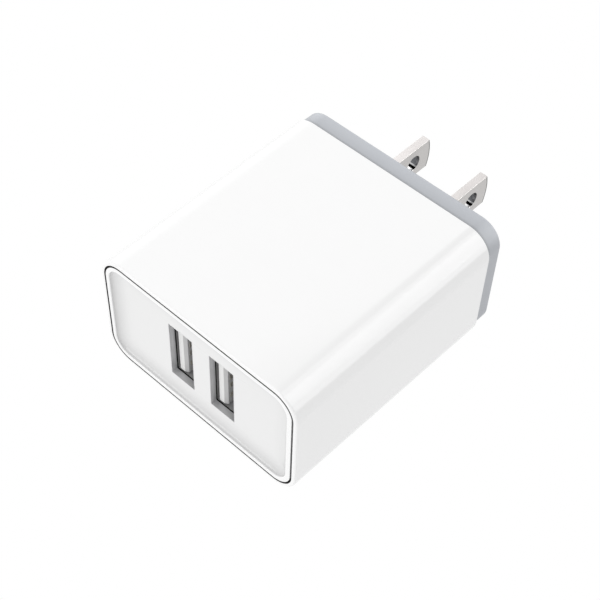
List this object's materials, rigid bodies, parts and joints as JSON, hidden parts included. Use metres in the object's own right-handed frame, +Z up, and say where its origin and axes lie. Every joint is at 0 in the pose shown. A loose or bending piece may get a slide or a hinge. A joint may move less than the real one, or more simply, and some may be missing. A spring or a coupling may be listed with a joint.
{
  "type": "usb wall charger",
  "caption": "Compact mains adapter with a rounded white tube body, a blue-grey rear cap with flat plug blades, and upright USB-A sockets in a dished front panel.",
  "frame": {"origin": "centre of the bounding box's footprint, on the surface that the charger lies on", "axes": "X across the body, +Y from the port face to the blade tips, +Z up out of the broad top face"},
  "size_m": [0.0418, 0.0624, 0.0242],
  "materials": {
    "sleeve_white": "glossy moulded plastic",
    "panel_white": "satin moulded plastic",
    "cap_grey": "fine matt moulded plastic",
    "blade_nickel": "nickel-plated brass, lightly brushed",
    "shell_steel": "plated sheet steel",
    "spring_metal": "plated spring strip",
    "tongue_white": "moulded plastic",
    "contact_gold": "gold-plated strip",
    "moulding_black": "moulded plastic",
    "board_green": "solder-masked glass laminate",
    "ferrite": "sintered ferrite",
    "winding_copper": "enamelled copper wire",
    "tape_yellow": "polyester tape",
    "can_black": "shrink sleeve on an aluminium can",
    "can_green": "shrink sleeve on an aluminium can",
    "epoxy_black": "moulded epoxy",
    "axial_green": "lacquer",
    "disc_blue": "epoxy-dipped ceramic",
    "barrier_white": "insulating sheet"
  },
  "bodies": {
    "root": {"housing_sleeve": "sleeve_white", "front_panel": "panel_white", "rear_cap": "cap_grey", "plug_blade_left": "blade_nickel", "plug_blade_right": "blade_nickel", "blade_retainer": "moulding_black", "contact_spring_left": "spring_metal", "contact_spring_right": "spring_metal", "usb_shell_left": "shell_steel", "usb_shell_right": "shell_steel", "usb_tongue_left": "tongue_white", "usb_tongue_right": "tongue_white", "usb_contact_left_1": "contact_gold", "usb_contact_left_2": "contact_gold", "usb_contact_left_3": "contact_gold", "usb_contact_left_4": "contact_gold", "usb_contact_right_1": "contact_gold", "usb_contact_right_2": "contact_gold", "usb_contact_right_3": "contact_gold", "usb_contact_right_4": "contact_gold", "main_board": "board_green", "transformer_core_left": "ferrite", "transformer_core_right": "ferrite", "transformer_bobbin": "moulding_black", "primary_winding": "winding_copper", "secondary_winding": "tape_yellow", "core_tape": "tape_yellow", "bulk_capacitor_front": "can_black", "bulk_capacitor_rear": "can_black", "output_capacitor_left": "can_green", "output_capacitor_right": "can_green", "bridge_rectifier": "epoxy_black", "controller_ic": "epoxy_black", "output_diode": "epoxy_black", "port_controller_ic": "epoxy_black", "fusible_resistor": "axial_green", "line_inductor": "axial_green", "y_capacitor": "disc_blue", "insulation_barrier": "barrier_white"}
  },
  "joints": []
}
